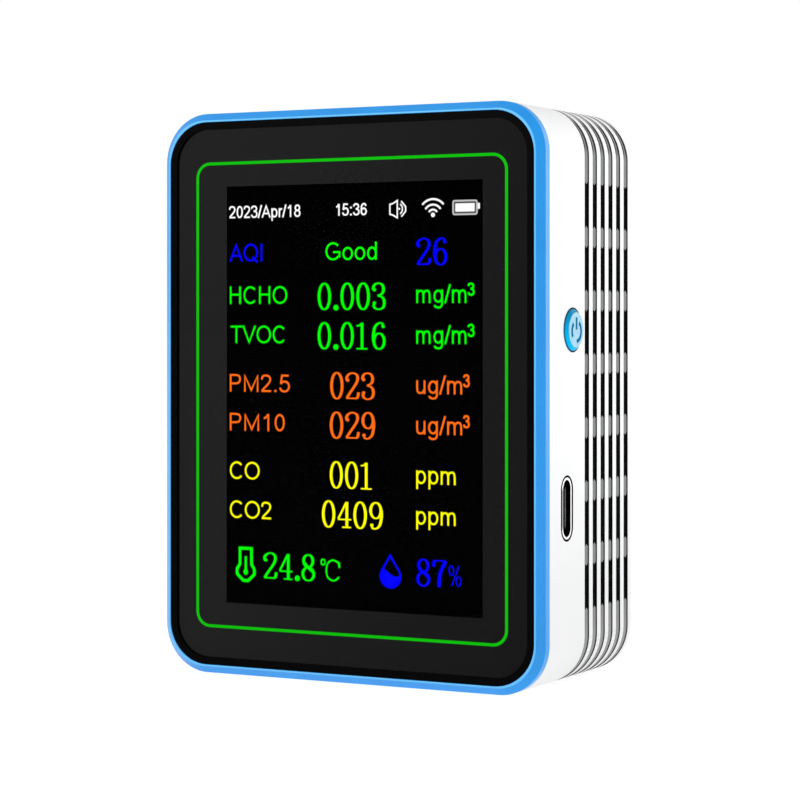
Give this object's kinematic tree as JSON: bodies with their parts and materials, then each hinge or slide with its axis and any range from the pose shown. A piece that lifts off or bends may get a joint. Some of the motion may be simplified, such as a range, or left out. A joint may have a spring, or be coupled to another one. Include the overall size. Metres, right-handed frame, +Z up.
{
  "type": "air quality monitor",
  "caption": "Small desktop air quality monitor with a blue front frame, dark display window, grooved and slotted white case, side power button and charging port.",
  "frame": {"origin": "on the flat bottom the monitor stands on, at the middle of its width and depth", "axes": "+Z up, the display faces -Y, +X is the side with the button and the charging port"},
  "size_m": [0.0646, 0.0328, 0.085],
  "materials": {
    "frame_blue": "satin",
    "case_white": "fine matt",
    "trim_black": "gloss",
    "lens_clear": "polished",
    "film_dark": "printed film",
    "tape_black": "foam",
    "display_black": "gloss",
    "backlight_white": "matt",
    "sheet_steel": "rolled",
    "flex_amber": "film",
    "board_green": "solder mask",
    "chip_black": "moulded",
    "filter_black": "fine mesh",
    "button_blue": "gloss",
    "port_metal": "polished",
    "battery_foil": "foil",
    "wire_red": "satin",
    "wire_black": "satin",
    "connector_white": "moulded",
    "sensor_grey": "moulded",
    "sensor_metal": "drawn",
    "screw_steel": "plated",
    "line_green": "printed ink",
    "symbol_blue": "printed ink",
    "readout_white": "lit display",
    "readout_green": "lit display",
    "readout_blue": "lit display",
    "readout_orange": "lit display",
    "readout_yellow": "lit display"
  },
  "bodies": {
    "case": {"backlight_unit": "backlight_white", "battery": "battery_foil", "battery_lead_black": "wire_black", "battery_lead_red": "wire_red", "battery_plug": "connector_white", "battery_socket": "connector_white", "battery_tape": "tape_black", "board_screws": "screw_steel", "buzzer": "chip_black", "carbon_monoxide_sensor": "sensor_metal", "case_screws": "screw_steel", "charging_port_shell": "port_metal", "charging_port_tongue": "chip_black", "co2_sensor": "sensor_metal", "controller_chip": "chip_black", "display_flex": "flex_amber", "display_frame": "sheet_steel", "display_tape": "tape_black", "flex_connector": "connector_white", "formaldehyde_sensor": "sensor_metal", "front_bezel": "frame_blue", "front_window": "lens_clear", "lcd_panel": "display_black", "left_dust_filter": "filter_black", "main_board": "board_green", "particle_sensor_case": "sensor_grey", "particle_sensor_lid": "sensor_grey", "power_chip": "chip_black", "rear_shell": "case_white", "right_dust_filter": "filter_black", "sensor_fan_stator": "sensor_metal", "switch_body": "chip_black", "temperature_humidity_sensor": "chip_black", "voc_sensor": "sensor_metal", "window_mask": "film_dark", "window_tape": "tape_black", "window_trim": "trim_black", "wireless_module": "board_green", "wireless_shield": "sheet_steel"},
    "button": {"power_button": "button_blue", "switch_plunger": "chip_black"},
    "fan": {"sensor_fan_rotor": "chip_black"}
  },
  "joints": [
    {"name": "button_press", "type": "slide", "parent": "case", "child": "button", "axis": [-1, 0, 0], "range_m": [0, 0.0005], "stiffness_N_per_m": 2400},
    {"name": "sensor_fan_spin", "type": "hinge", "parent": "case", "child": "fan", "pos_m": [-0.015, 0.006, 0.064], "axis": [0, 1, 0], "continuous": true}
  ]
}
